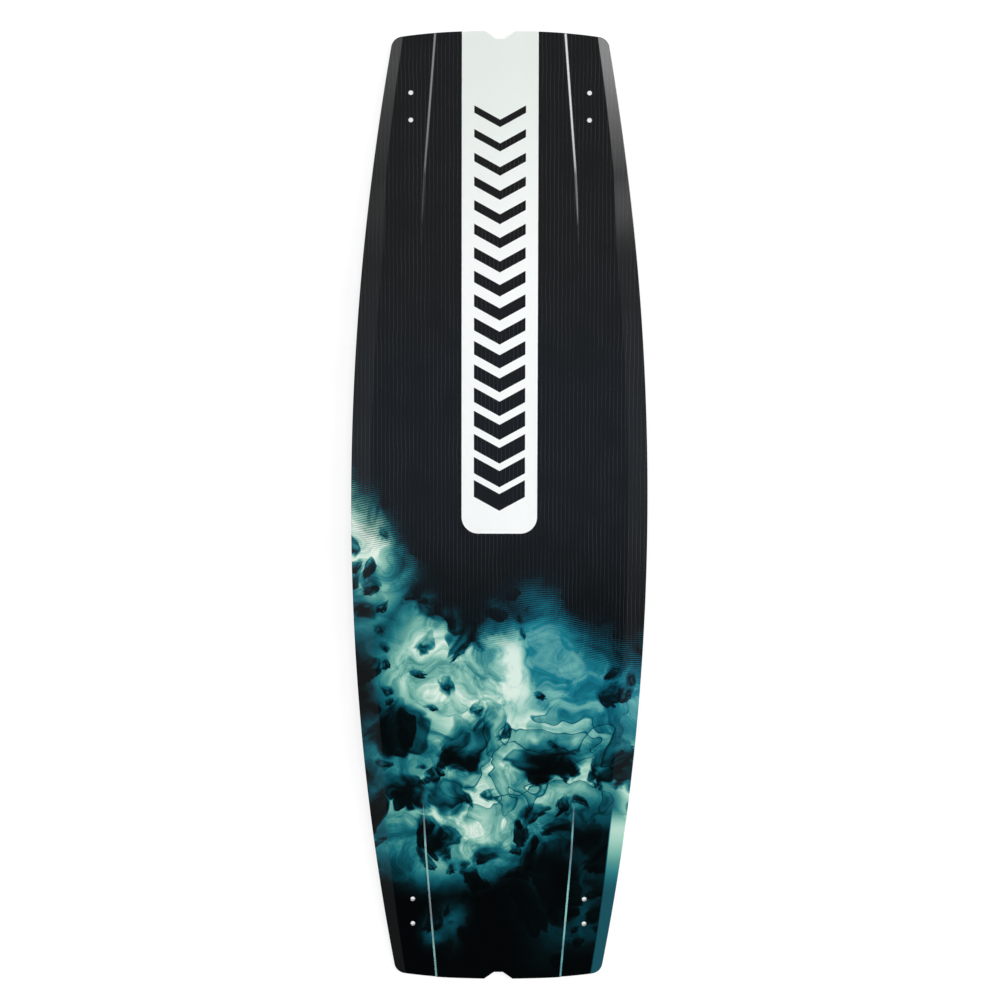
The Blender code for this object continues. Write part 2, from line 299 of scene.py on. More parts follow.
def deck_z(x, y):
    square = (y / HALF_LENGTH) ** 2
    edge = soft_rise(abs(x) - bevel_x(y), BEVEL_FILLET) / (rail_x(y) - bevel_x(y))
    return PEAK - ROCKER * square - thickness(y) + DECK_BEVEL * max(0, 1 - square) * edge


def base_normal(y):
    return Vector((0, 2 * ROCKER * y / HALF_LENGTH**2, 1)).normalized()


def deck_normal(y):
    arch = ROCKER + TIP_THICKNESS - CENTRE_THICKNESS
    return Vector((0, -2 * arch * y / HALF_LENGTH**2, -1)).normalized()


# Plan outlines, anticlockwise


def fillet(before, corner, after, radius):
    back = (before - corner).normalized()
    ahead = (after - corner).normalized()
    half = back.angle(ahead) / 2
    start = corner + back * radius / math.tan(half)
    centre = corner + (back + ahead).normalized() * radius / math.sin(half)
    turn = math.copysign(math.pi - 2 * half, ahead.cross(back))
    return [
        centre + Matrix.Rotation(turn * i / ARC_STEPS, 2) @ (start - centre)
        for i in range(ARC_STEPS + 1)
    ]


def tip_corner():
    y = HALF_LENGTH
    for _ in range(CORNER_PASSES):
        y = tip_y(rail_x(y))
    return Vector((rail_x(y), y))


def half_tip():
    """The right half of the tip, from the rail at CORE_END to the notch floor."""
    rail = [Vector((rail_x(y), y)) for y in (CORE_END + RAIL_SPACING * i for i in range(3))]
    corner = tip_corner()
    mouth = Vector((NOTCH_MOUTH / 2, tip_y(NOTCH_MOUTH / 2)))
    floor = Vector((NOTCH_FLOOR / 2, HALF_LENGTH - NOTCH_DEPTH))
    edge_start = corner.x - CORNER_RADIUS
    spacing = (edge_start - mouth.x) / TIP_STATIONS
    edge = [Vector((x, tip_y(x))) for x in (edge_start - i * spacing for i in range(TIP_STATIONS))]
    return [
        *rail,
        *fillet(rail[0], corner, edge[0], CORNER_RADIUS),
        *edge,
        *fillet(edge[-1], mouth, floor, NOTCH_RADIUS),
        *fillet(mouth, floor, Vector((0, floor.y)), NOTCH_RADIUS),
    ]


def tip_outline():
    right = half_tip()
    return right + [Vector((-p.x, p.y)) for p in reversed(right)]


def rail_line(inset, end):
    places = [end * i / RAIL_STATIONS - end for i in range(2 * RAIL_STATIONS + 1)]
    return [Vector((rail_x(y) - inset, y)) for y in places]


def turned(points):
    """The same points at the opposite side and end of the board."""
    return [-p for p in points]


def board_outline():
    side = rail_line(0, CORE_END)[1:-1]
    return side + tip_outline() + turned(side) + turned(tip_outline())


def rail_outline():
    end = CORE_END - SEAM
    return rail_line(0, end) + rail_line(RAIL_WIDTH, end)[::-1]


def circle(centre, radius, sides):
    steps = (2 * math.pi * i / sides for i in range(sides))
    return [centre + radius * Vector((math.cos(a), math.sin(a))) for a in steps]


def outward(before, point, after):
    """The miter at a point of a loop that runs anticlockwise round its material."""
    first = (point - before).normalized()
    second = (after - point).normalized()
    normal = Vector((first.y + second.y, -first.x - second.x)).normalized()
    return normal / max(1 / LONGEST_MITER, normal.dot(Vector((second.y, -second.x))))


def inset_loop(loop, distance):
    around = zip([loop[-1]] + loop[:-1], loop, loop[1:] + [loop[0]])
    return [point - distance * outward(before, point, after) for before, point, after in around]


def line_along(x_at, offset, start, end):
    """A feature line on both sides and at both ends of the board, offset outwards from x_at(y)."""
    count = max(2, round((end - start) / LINE_SPACING))
    right = [
        Vector((x_at(y) + offset, y))
        for y in (start + (end - start) * i / count for i in range(count + 1))
    ]
    mirrored = [Vector((-p.x, p.y)) for p in right]
    return [right, mirrored, turned(right), turned(mirrored)]


def closed_line(loop):
    return loop + loop[:1]


def rim_lines(holes):
    """Lines just inside the plate's edge and round its holes."""
    return [closed_line(inset_loop(board_outline(), EDGE_RADIUS + GUARD))] + [
        closed_line(hole) for hole in holes
    ]


def bevel_lines():
    reach = BEVEL_FILLET + GUARD
    lines = []
    for offset in (-reach, -BEVEL_FILLET, 0, BEVEL_FILLET, reach):
        lines += line_along(bevel_x, offset, 0, LINE_END)
    return lines


def base_lines():
    """The lines where the base's slope changes: the channel walls and the bevels."""
    run_out = HALF_LENGTH - STEP_DEPTHS[-1][0]
    rounding_end = STEP_FILLET * STEP_WALL
    width = STEP_WALL + 2 * rounding_end
    offsets = [width * i / STEP_LINES - rounding_end for i in range(STEP_LINES + 1)]
    lines = bevel_lines()
    for offset in (offsets[0] - GUARD, *offsets, offsets[-1] + GUARD):
        lines += line_along(step_x, offset, run_out, LINE_END)
    return lines


# Meshes


def grid_points(spacing, kept_off):
    """Plan points all over the board that stay clear of the points in kept_off."""
    tree = KDTree(len(kept_off))
    for number, point in enumerate(kept_off):
        tree.insert(point.to_3d(), number)
    tree.balance()
    found = []
    for row in range(math.ceil(LENGTH / spacing)):
        y = (row + 0.5) * spacing - HALF_LENGTH
        for column in range(math.ceil(WIDTH / spacing)):
            x = (column + (0.5 if row % 2 else 0.0)) * spacing - WIDTH / 2
            point = Vector((x, y))
            if tree.find(point.to_3d())[2] > GRID_CLEARANCE * spacing:
                found.append(point)
    return found


def triangulate(outline, holes, lines, spacing=None):
    """(points, triangles) that fill a plan outline round its holes and along its lines.

    The triangulation covers everything, so only triangles of the outline alone, part 0, are kept.
    """
    points, edges, faces = [], [], []
    for loop in [outline, *holes]:
        faces.append(list(range(len(points), len(points) + len(loop))))
        points += loop
    for line in lines:
        start = len(points)
        points += line
        edges += [(i, i + 1) for i in range(start, len(points) - 1)]
    if spacing:
        points += grid_points(spacing, points)
    made = delaunay_2d_cdt(points, edges, faces, 0, SAME_PLACE)
    inside = [face for face, parts in zip(made[2], made[5]) if parts == [0]]
    used = sorted({vertex for face in inside for vertex in face})
    renumbered = {old: new for new, old in enumerate(used)}
    return [made[0][i] for i in used], [[renumbered[i] for i in face] for face in inside]


def closed_mesh(name, verts, faces):
    """A mesh that is shaded smooth but for its sharp edges."""
    mesh = bpy.data.meshes.new(name)
    mesh.from_pydata(verts, [], faces)
    mesh.update()
    mesh.shade_smooth()
    mesh.set_sharp_from_angle(angle=SHARP_ANGLE)
    return mesh


def rounding(radius, reach):
    """(outset, distance from the face) along a plate's rounded edge, whose outset ends at reach."""
    turns = [math.pi / 2 * i / EDGE_STEPS for i in range(1, EDGE_STEPS + 1)]
    arc = [(radius * math.sin(turn), radius * (1 - math.cos(turn))) for turn in turns]
    return arc if radius else [(reach, 0.0)]


def plate_mesh(name, plan, top, bottom, upper_radius=0.0, lower_radius=0.0):
    """A closed plate between two surfaces. Its rounded edge reaches out past its plan."""
    points, triangles = plan
    sides = {side for a, b, c in triangles for side in ((a, b), (b, c), (c, a))}
    after = {start: end for start, end in sides if (end, start) not in sides}
    before = {end: start for start, end in after.items()}
    verts = [(x, y, top(x, y)) for x, y in points]
    low = len(verts)
    verts += [(x, y, bottom(x, y)) for x, y in points]
    faces = [tuple(face) for face in triangles]
    faces += [tuple(low + i for i in reversed(face)) for face in triangles]
    reach = max(upper_radius, lower_radius)
    rings = [(outset, top, -drop) for outset, drop in rounding(upper_radius, reach)]
    rings += [(outset, bottom, rise) for outset, rise in rounding(lower_radius, reach)[::-1]]
    ring = {vertex: vertex for vertex in after}
    for outset, surface, lift in rings if reach else []:
        outer = {}
        for vertex in after:
            normal = outward(points[before[vertex]], points[vertex], points[after[vertex]])
            x, y = points[vertex] + outset * normal
            outer[vertex] = len(verts)
            verts.append((x, y, surface(x, y) + lift))
        faces += [(ring[b], ring[a], outer[a], outer[b]) for a, b in after.items()]
        ring = outer
    faces += [(ring[b], ring[a], low + a, low + b) for a, b in after.items()]
    return closed_mesh(name, verts, faces)


def make_piece(mesh, look, nodes, matrix=None):
    """Shows a mesh in place of its CAD nodes."""
    made = bpy.data.objects.new(mesh.name, mesh)
    bpy.context.scene.collection.objects.link(made)
    if matrix is not None:
        made.matrix_world = matrix
    mesh.materials.clear()
    mesh.materials.append(look)
    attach(made, "root")
    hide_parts(*nodes)


# Skins, core edges and hardware


def end_name(y):
    return "front" if y > 0 else "rear"


def side_name(x):
    return "right" if x > 0 else "left"


def fin_places():
    """(name, centre on the base, direction) of each fin screw hole."""
    for end in (1, -1):
        for side in (-1, 1):
            middle = end * (HALF_LENGTH - sum(FIN_FROM_TIP) / 2)
            for number, from_tip in enumerate(FIN_FROM_TIP, 1):
                x, y = side * FIN_X, end * (HALF_LENGTH - from_tip)
                name = f"{end_name(y)}_{side_name(x)}_{number}"
                yield name, Vector((x, y, base_z(x, y))), base_normal(middle)


def insert_places():
    """(name, x, y) of each threaded insert, in rows from the tip towards the middle."""
    for end in (1, -1):
        for side in (-1, 1):
            for row in range(BINDING_ROWS):
                offset = ((BINDING_ROWS - 1) / 2 - row) * BINDING_PITCH
                name = f"binding_insert_{end_name(end)}_{side_name(side)}_{row + 1}"
                yield name, side * BINDING_X, end * (BINDING_Y + offset)
        yield f"handle_insert_{end_name(end)}", 0, end * HANDLE_Y


def fin_circles(radius, at_deck=False):
    circles = []
    for _, centre, direction in fin_places():
        depth = centre.z - deck_z(centre.x, centre.y) if at_deck else 0
        middle = centre - direction * depth / direction.z
        circles.append(circle(middle.to_2d(), radius, HOLE_SIDES))
    return circles


def insert_circles(radius):
    return [circle(Vector((x, y)), radius, HOLE_SIDES) for _, x, y in insert_places()]


def below_base(depth):
    return lambda x, y: base_z(x, y) - depth


def above_deck(depth):
    return lambda x, y: deck_z(x, y) + depth


def build_skins(looks):
    """The printed base sheet, the deck sheet and the two fibre laminates under them."""
    rim = inset_loop(board_outline(), EDGE_RADIUS)
    holes = fin_circles(FIN_HOLE_RADIUS + EDGE_RADIUS)
    lines = base_lines() + rim_lines(fin_circles(FIN_HOLE_RADIUS + EDGE_RADIUS + GUARD))
    plan = triangulate(rim, holes, lines, GRID)
    mesh = plate_mesh("base_sheet_print", plan, base_z, below_base(SHEET), upper_radius=EDGE_RADIUS)
    make_piece(mesh, looks["base_print"], ["base_sheet"])

    holes, guards = (
        fin_circles(FIN_HOLE_RADIUS + reach, at_deck=True) + insert_circles(BARREL_RADIUS + reach)
        for reach in (EDGE_RADIUS, EDGE_RADIUS + GUARD)
    )
    plan = triangulate(rim, holes, bevel_lines() + rim_lines(guards), GRID)
    mesh = plate_mesh("deck_sheet_print", plan, above_deck(SHEET), deck_z, lower_radius=EDGE_RADIUS)
    make_piece(mesh, looks["deck_print"], ["deck_sheet"])

    plan = triangulate(board_outline(), fin_circles(FIN_HOLE_RADIUS), base_lines())
    layer = below_base(LAMINATE_START), below_base(LAMINATE_START + LAMINATE)
    mesh = plate_mesh("base_laminate_cloth", plan, *layer)
    make_piece(mesh, looks["laminate"], ["base_laminate"])

    holes = fin_circles(FIN_HOLE_RADIUS, at_deck=True) + insert_circles(BARREL_RADIUS + SEAM)
    plan = triangulate(board_outline(), holes, bevel_lines())
    layer = above_deck(LAMINATE_START + LAMINATE), above_deck(LAMINATE_START)
    mesh = plate_mesh("deck_laminate_cloth", plan, *layer)
    make_piece(mesh, looks["laminate"], ["deck_laminate"])


def build_rails(looks):
    outlines = {
        "rail_right": rail_outline(),
        "rail_left": turned(rail_outline()),
        "tip_rail_front": tip_outline(),
        "tip_rail_rear": turned(tip_outline()),
    }
    layer = below_base(CORE_START), above_deck(CORE_START)
    for name, outline in outlines.items():
        mesh = plate_mesh(name + "_abs", triangulate(outline, [], base_lines()), *layer)
        make_piece(mesh, looks["rail_plastic"], [name])


def thread_radius(depth, turn):
    """Distance from the axis to a helical thread, opened out at its mouth."""
    phase = (depth / THREAD_PITCH + turn) % 1
    tooth = THREAD_MINOR + THREAD_HEIGHT * (1 - abs(2 * phase - 1))
    return max(tooth, THREAD_MINOR + THREAD_HEIGHT + THREAD_CHAMFER - depth)


def turned_mesh(name, profile, closed):
    """Turns rows of (radius, height) round Z. A radius may be a function of the share of a turn."""
    verts = []
    for radius, height in profile:
        for number in range(TURNED_SIDES):
            share = number / TURNED_SIDES
            reach = radius(share) if callable(radius) else radius
            angle = 2 * math.pi * share
            verts.append((reach * math.cos(angle), reach * math.sin(angle), height))
    rows = [
        [row * TURNED_SIDES + number for number in range(TURNED_SIDES)]
        for row in range(len(profile))
    ]
    pairs = list(zip(rows, rows[1:])) + ([(rows[-1], rows[0])] if closed else [])
    faces = [
        (near[i], near[i - 1], far[i - 1], far[i])
        for near, far in pairs
        for i in range(TURNED_SIDES)
    ]
    if not closed:
        faces += [tuple(rows[0]), tuple(reversed(rows[-1]))]
    return closed_mesh(name, verts, faces)


def frame_along(origin, direction):
    """A placement at origin whose Z axis points along direction and whose X axis lies across."""
    across = Vector((1, 0, 0))
    turn = Matrix((across, direction.cross(across), direction)).transposed()
    return Matrix.Translation(origin) @ turn.to_4x4()


def build_fin_plugs(look):
    for name, centre, direction in fin_places():
        depth = centre.z - deck_z(centre.x, centre.y)
        top, bottom = -CORE_START - PLUG_RELIEF, CORE_START + PLUG_RELIEF - depth
        bore, rim, chamfer = FIN_HOLE_RADIUS, FIN_PLUG_RADIUS, PLUG_CHAMFER
        profile = [
            (bore, top - chamfer),
            (bore + chamfer, top),
            (rim - chamfer, top),
            (rim, top - chamfer),
            (rim, bottom + chamfer),
            (rim - chamfer, bottom),
            (bore + chamfer, bottom),
            (bore, bottom + chamfer),
        ]
        mesh = turned_mesh(f"fin_plug_{name}_turned", profile, closed=True)
        matrix = frame_along(centre, direction)
        make_piece(mesh, look, ["fin_plug_" + name], matrix)


def insert_profile(depth):
    """From the foot of the thread, up it, over the mouth and down the barrel and flange."""
    mouth, foot = -MOUTH_DEPTH, THREAD_FLOOR - depth
    count = round((mouth - foot) / THREAD_ROW)
    profile = []
    for row in range(count, -1, -1):
        sunk = (mouth - foot) * row / count
        profile.append((lambda turn, sunk=sunk: thread_radius(sunk, turn), mouth - sunk))
    shoulder = FLANGE_THICKNESS - depth
    return profile + [
        (BARREL_RADIUS - BARREL_CHAMFER, mouth),
        (BARREL_RADIUS, mouth - BARREL_CHAMFER),
        (BARREL_RADIUS, shoulder),
        (FLANGE_RADIUS - BARREL_CHAMFER, shoulder),
        (FLANGE_RADIUS, shoulder - BARREL_CHAMFER),
        (FLANGE_RADIUS, -depth),
    ]


def build_inserts(look):
    for name, x, y in insert_places():
        depth = base_z(x, y) - deck_z(x, y) - INSERT_COVER
        mesh = turned_mesh(name + "_threaded", insert_profile(depth), closed=False)
        matrix = frame_along(Vector((x, y, deck_z(x, y))), deck_normal(y))
        make_piece(mesh, look, [name], matrix)


# Numbers and colours that vary over a surface


class Field:
    """A socket that varies over a surface. Arithmetic on it adds Math nodes to its material."""

    def __init__(self, socket):
        self.socket = socket

    def __add__(self, other):
        return calculate("ADD", self, other)

    def __sub__(self, other):
        return calculate("SUBTRACT", self, other)

    def __rsub__(self, other):
        return calculate("SUBTRACT", other, self)

    def __mul__(self, other):
        return calculate("MULTIPLY", self, other)

    def __truediv__(self, other):
        return calculate("DIVIDE", self, other)

    __radd__ = __add__
    __rmul__ = __mul__


def new_node(kind, *values):
    """A node in the material that the first Field among the values belongs to."""
    tree = next(value.socket.id_data for value in values if isinstance(value, Field))
    return tree.nodes.new(kind)


def feed(socket, value):
    if isinstance(value, Field):
        socket.id_data.links.new(value.socket, socket)
    else:
        socket.default_value = value


def calculate(operation, *values):
    node = new_node("ShaderNodeMath", *values)
    node.operation = operation
    for socket, value in zip(node.inputs, values):
        feed(socket, value)
    return Field(node.outputs[0])


def least(first, second):
    return calculate("MINIMUM", first, second)


def most(first, second):
    return calculate("MAXIMUM", first, second)


def size_of(value):
    return calculate("ABSOLUTE", value)


def length_of(across, along):
    return calculate("SQRT", across * across + along * along)


def stripes(value, period):
    """Distance from the middle of the nearest stripe, from 0 there to 1 halfway to the next."""
    return size_of(calculate("FRACT", value / period) - 0.5) * -2 + 1


def rise(value, low, high):
    """Eases from 0 where value is at low to 1 where it is at high, which may be the smaller."""
    node = new_node("ShaderNodeMapRange", value)
    node.interpolation_type = "SMOOTHSTEP"
    for socket, number in zip(node.inputs, (value, low, high, 0.0, 1.0)):
        feed(socket, number)
    return Field(node.outputs[0])


def between(first, second, share):
    return share * (second - first) + first


def blend(first, second, share):
    """One colour over another."""
    node = new_node("ShaderNodeMix", share, first, second)
    node.data_type = "RGBA"
    feed(node.inputs["Factor"], share)
    colours = [socket for socket in node.inputs if socket.type == "RGBA"]
    for socket, colour in zip(colours, (first, second)):
        feed(socket, colour)
    return Field(next(socket for socket in node.outputs if socket.type == "RGBA"))


def graded(value, stops):
    """Colours along a scale of (place, colour) stops."""
    node = new_node("ShaderNodeValToRGB", value)
    feed(node.inputs[0], value)
    elements = node.color_ramp.elements
    while len(elements) < len(stops):
        elements.new(1.0)
    for element, (place, colour) in zip(elements, stops):
        element.position = place
        element.color = colour
    return Field(node.outputs[0])


def separated(vector):
    """The three parts of a vector or colour."""
    node = new_node("ShaderNodeSeparateXYZ", vector)
    feed(node.inputs[0], vector)
    return [Field(output) for output in node.outputs]


def place_at(x, y, z):
    node = new_node("ShaderNodeCombineXYZ", x, y, z)
    for socket, value in zip(node.inputs, (x, y, z)):
        feed(socket, value)
    return Field(node.outputs[0])


def noise(x, y, scale, seed, detail=2.0, roughness=0.5, z=0.0):
    """Fractal noise round 0, from about -1 to 1. Each seed gives another pattern."""
    node = new_node("ShaderNodeTexNoise", x, y)
    feed(node.inputs["Vector"], place_at(x, y, z + float(seed)))
    node.inputs["Scale"].default_value = scale
    node.inputs["Detail"].default_value = detail
    node.inputs["Roughness"].default_value = roughness
    return Field(node.outputs[0]) * 2 - 1


def cells(x, y, scale, seed):
    """(distance from the nearest cell's middle, height above it, a random number for the cell).

    Both lengths are in cell widths.
    """
    node = new_node("ShaderNodeTexVoronoi", x, y)
    node.voronoi_dimensions = "2D"
    node.feature = "SMOOTH_F1"
    feed(node.inputs["Vector"], place_at(x + float(seed), y, 0.0))
    node.inputs["Scale"].default_value = scale
    node.inputs["Randomness"].default_value = CELL_SCATTER
    node.inputs["Smoothness"].default_value = CELL_SOFTNESS
    middle = separated(Field(node.outputs["Position"]))
    chance = separated(Field(node.outputs["Color"]))[0]
    return Field(node.outputs["Distance"]), (y - middle[1]) * scale, chance


def shade(red, green, blue):
    """A screen colour, each part from 0 to 255, as the linear colour that a shader takes."""
    parts = (part / 255 for part in (red, green, blue))
    linear = [part / 12.92 if part < 0.04045 else ((part + 0.055) / 1.055) ** 2.4 for part in parts]
    return (*linear, 1.0)


def coordinates(tree, kind):
    """The three parts of one kind of texture coordinates."""
    return separated(Field(tree.nodes.new("ShaderNodeTexCoord").outputs[kind]))


def new_material(name):
    """(material, its shader, the place in the piece's own axes as three Fields)."""
    made = bpy.data.materials.new(name)
    made.use_nodes = True
    tree = made.node_tree
    return made, tree.nodes["Principled BSDF"], coordinates(tree, "Object")


def finish_surface(shader, colour, roughness, height, distance):
    """Feeds a shader its colour, roughness and bump, whose distance is in metres."""
    feed(shader.inputs["Base Color"], colour)
    feed(shader.inputs["Roughness"], roughness)
    bump = shader.id_data.nodes.new("ShaderNodeBump")
    bump.inputs["Distance"].default_value = distance
    feed(bump.inputs["Height"], height)
    shader.id_data.links.new(bump.outputs[0], shader.inputs["Normal"])


# Colours

ROOM_WALLS = (0.08, 0.08, 0.08, 1.0)
CEILING_FRONT = (0.28, 0.28, 0.28, 1.0)
CEILING_MIDDLE = (0.25, 0.31, 0.38, 1.0)
CEILING_REAR = (0.015, 0.02, 0.02, 1.0)
FLOOR_DARK = (0.20, 0.20, 0.20, 1.0)
FLOOR_LIGHT = (0.26, 0.26, 0.26, 1.0)
CLOTH = shade(150, 158, 140), shade(206, 210, 196)
BLACK_ABS = shade(14, 14, 15), shade(34, 34, 36)
PALE_ABS = shade(200, 200, 196), shade(226, 226, 222)
WOOD = shade(188, 152, 108), shade(216, 188, 146)
WOOD_PORES = shade(150, 112, 72)
STEEL = shade(176, 176, 172), shade(206, 206, 203)
HAZE_BLUE = shade(16, 88, 100)
PRINT_BLACK = shade(7, 9, 11)
PIN_LINE = shade(58, 61, 65)
BAND_WHITE = shade(240, 243, 242)
BAND_TIP = shade(219, 225, 220)
INK_COLOURS = (
    (0.00, shade(2, 4, 5)),
    (0.07, shade(4, 15, 18)),
    (0.15, shade(5, 40, 48)),
    (0.25, shade(10, 72, 84)),
    (0.33, shade(18, 92, 104)),
    (0.43, shade(38, 120, 126)),
    (0.55, shade(78, 144, 138)),
    (0.68, shade(118, 176, 164)),
    (0.82, shade(160, 203, 188)),
    (1.00, shade(222, 235, 224)),
)
SMOKE_COLOURS = (
    (0.00, shade(3, 7, 10)),
    (0.12, shade(6, 28, 36)),
    (0.30, shade(10, 84, 104)),
    (0.50, shade(26, 122, 138)),
    (0.75, shade(110, 178, 172)),
    (1.00, shade(206, 228, 218)),
)


# The base print


def ellipse(x, y, middle, reach):
    """1 in the inner quarter of an ellipse, easing to 0 at its rim."""
    across, along = (x - middle[0]) / reach[0], (y - middle[1]) / reach[1]
    return rise(length_of(across, along), 1.0, 0.25)


def band_share(x, y):
    """1 inside the pale centre band, which is open at the front tip and round-cornered below."""
    across = size_of(x) - (BAND_HALF_WIDTH - BAND_RADIUS)
    along = (BAND_END + BAND_RADIUS) - y
    outside = length_of(most(across, 0.0), most(along, 0.0)) + least(most(across, along), 0.0)
    return rise(outside - BAND_RADIUS, PRINT_EDGE, -PRINT_EDGE)


def chevron_share(x, y):
    """1 inside the column of chevrons in the band, which get bolder towards the middle."""
    down = (CHEVRON_TOP - y) + size_of(x) * CHEVRON_LEAN
    along = down / (CHEVRON_COUNT * CHEVRON_PITCH)
    bold = between(CHEVRON_THIN, CHEVRON_BOLD, along)
    bar = size_of(calculate("FRACT", down / CHEVRON_PITCH) - 0.5) * 2
    edge = 2 * PRINT_EDGE / CHEVRON_PITCH
    inside = rise(bar - bold, edge, -edge)
    inside = inside * rise(size_of(x), CHEVRON_HALF_WIDTH + PRINT_EDGE, CHEVRON_HALF_WIDTH - PRINT_EDGE)
    return inside * rise(size_of(along - 0.5), 0.5 + CHEVRON_ENDS, 0.5 - CHEVRON_ENDS)


def ink_light(x, y):
    """The pale water that the ink hangs in: brightest left of the middle, black at the rear. The pool
    at the right rail near the rear is a painted reflection on the right bevel.
    """
    light = 0.0
    for brightness, middle, reach in INK_POOLS:
        light = most(brightness * ellipse(x, y, middle, reach), light)
    return light


def drifted(x, y, scale, seed, reach, detail=1.0):
    """The place that the drift of the water has brought here."""
    return (
        x + noise(x, y, scale, seed, detail) * reach,
        y + noise(x, y, scale, seed + 1, detail) * reach,
    )


def ink_puffs(x, y, scale, seed, share):
    """What the puffs of one size let through, between 0 and 1.

    Lumps scallop their edges and shade them, some edges are soft, and their tops are paler.
    """
    far, up, chance = cells(x, y, scale, seed)
    lump = size_of(noise(x, y, scale * 3.6, seed + 1, 1.0)) * 2
    wobble = noise(x, y, scale * 1.3, seed + 4)
    reach = PUFF_REACH[0] + PUFF_REACH[1] * chance + wobble * PUFF_WOBBLE
    soft = 0.02 + 0.32 * rise(noise(x, y, scale * 0.8, seed + 2), -0.20, 0.25)
    inside = rise(far - lump * LUMP_DEPTH - reach, 0.06, soft * -0.7)
    chosen = rise(chance + share, 1.0, 1.04)
    curl = noise(x, y, scale * 2.5, seed + 3, 4.0)
    tone = rise(up / reach * 0.6 + lump * 0.9 + curl * 0.9, -0.6, 1.7)
    return 1 - inside * chosen * (0.95 - 0.70 * tone)


def ink_veils(x, y, scale, seed, reach):
    """(how much a folded sheet of ink covers, how dark the thin line along its fold is)."""
    fold = noise(x, y, scale, seed, 1.5)
    sheet = rise(fold, -0.01, 0.01) * rise(fold, reach, 0.0)
    line = rise(size_of(fold), 0.016, 0.002)
    return sheet, line


def ink_value(x, y):
    """The ink cloud's brightness, from 0 in the thickest ink to 1 where there is none.

    The light drifts in wide bends, the puffs in tighter folds and the smoke in swirls.
    """
    wide_x, wide_y = drifted(x, y, 8.0, 501, 0.040)
    fold_x, fold_y = drifted(wide_x, wide_y, 18.0, 503, 0.024, 2.0)
    swirl_x, swirl_y = drifted(x, y, 10.0, 505, 0.110, 2.0)
    calm = ellipse(x, y, *CALM_WATER)
    smoke = rise(noise(swirl_x, swirl_y, 10.0, 507, 6.0, 0.65), -0.30, 0.40)
    value = ink_light(wide_x, wide_y) * (1 - SMOKE_DEPTH * smoke)
    for scale, seed, share, calmed in INK_PUFFS:
        value = value * ink_puffs(fold_x, fold_y, scale, seed, share - calmed * calm)
    sheet, line = ink_veils(fold_x, fold_y, 9.0, 541, 0.25)
    fold, wisp = ink_veils(swirl_x, swirl_y, 11.0, 551, 0.30)
    rows = rise(y, *STRAND_ROWS[0]) * rise(y, *STRAND_ROWS[1])
    strands = rows * rise(x, *STRAND_START)
    value = value * (1 - most(sheet, fold) * (0.30 * strands + 0.06))
    value = value * (1 - most(line, wisp) * strands * 0.6)
    # Brightened by the painted reflections along the right rear bevel and the rear step walls
    return most(calculate("POWER", value, 0.9), most(rail_painted_reflection(x, y), step_painted_reflection(x, y)))


def rail_painted_reflection(x, y):
    """A painted reflection: the pale streak along the right bevel, which fades to blue towards the rear
    tip.
    """
    along = y / HALF_LENGTH
    inside = (1 - along * along * RAIL_TAPER) * (WIDTH / 2) - x
    across = rise(inside - (y + HALF_LENGTH) * RAIL_REFLECTION_LEAN, *RAIL_REFLECTION_EDGE)
    return across * rise(y, -0.40, -0.46) * between(0.26, 0.86, rise(y, -0.56, -0.455))


def step_painted_reflection(x, y):
    """A painted reflection: the blue that shows here and there along the walls of the rear steps."""
    from_tip = y + HALF_LENGTH
    wall = 1.0
    for (start, first), (end, last) in zip(STEP_PLACES, STEP_PLACES[1:]):
        wall = least((from_tip - start) * ((last - first) / (end - start)) + first, wall)
    line = rise(size_of(size_of(x) - wall - STEP_WALL / 2), STEP_WALL, STEP_WALL / 2)
    patches = rise(noise(x, y, 15.0, 561, 2.0), -0.45, 0.20)
    return line * rise(from_tip, *STEP_REFLECTION_END) * (0.16 + 0.44 * patches)


def ink_start(x):
    """How far forward the cloud reaches: far along the left rail, least left of the middle."""
    left = most(least(x * -1.1 - 0.13, CLOUD_FRONT[1]), CLOUD_FRONT[0])
    middle = 0.065 * rise(size_of(x - 0.05), 0.12, 0.0)
    return left + middle - 0.025 * rise(x, 0.04, 0.21)


def pin_lined(x, y, seed):
    """The black ground, with fine grey lines along the board that waver and come and go."""
    line = stripes(x + noise(x, y, 24.0, seed, 2.0) * PIN_WANDER, PIN_PITCH)
    fine = rise(line, 0.74, 0.92) * rise(noise(x, y * 0.5, 30.0, seed + 1, 3.0), -0.6, 0.4)
    return blend(PRINT_BLACK, PIN_LINE, fine * 0.42)


def base_print():
    """Black with a pale band and an ink cloud, which thins out forward into fine wavy lines."""
    made, shader, (x, y, _) = new_material("base_print_gloss")
    patches = noise(x, y, 14.0, 571, 4.0)
    shown = (ink_start(x) - y + patches * 0.06) / INK_FADE
    waves = y + x * 0.12 + noise(x, y, 8.0, 572, 1.0) * 0.011
    revealed = rise(stripes(waves, WAVE_PITCH) - shown, 0.12, -0.12)

    value = ink_value(x, y) * rise(shown, -0.15, between(0.9, 1.3, rise(x, -0.18, -0.08)))
    blue = rise(x + y * 0.5, *BLUE_START) * rise(y, *BLUE_END)
    cloud = blend(graded(value, INK_COLOURS), graded(value, SMOKE_COLOURS), blue)

    black = pin_lined(x, y, 23)
    ink = blend(black, cloud, revealed)

    band = blend(BAND_WHITE, BAND_TIP, rise(y, *BAND_SHADING))
    band = blend(band, black, chevron_share(x, y))
    colour = blend(ink, band, band_share(x, y))

    wear = noise(x, y, 60.0, 25, 4.0)
    ripple = noise(x * 0.6, y * 0.15, 90.0, 26, 2.0)
    finish_surface(shader, colour, 0.075 + 0.02 * wear, ripple, 0.00001)
    return made


# The other materials


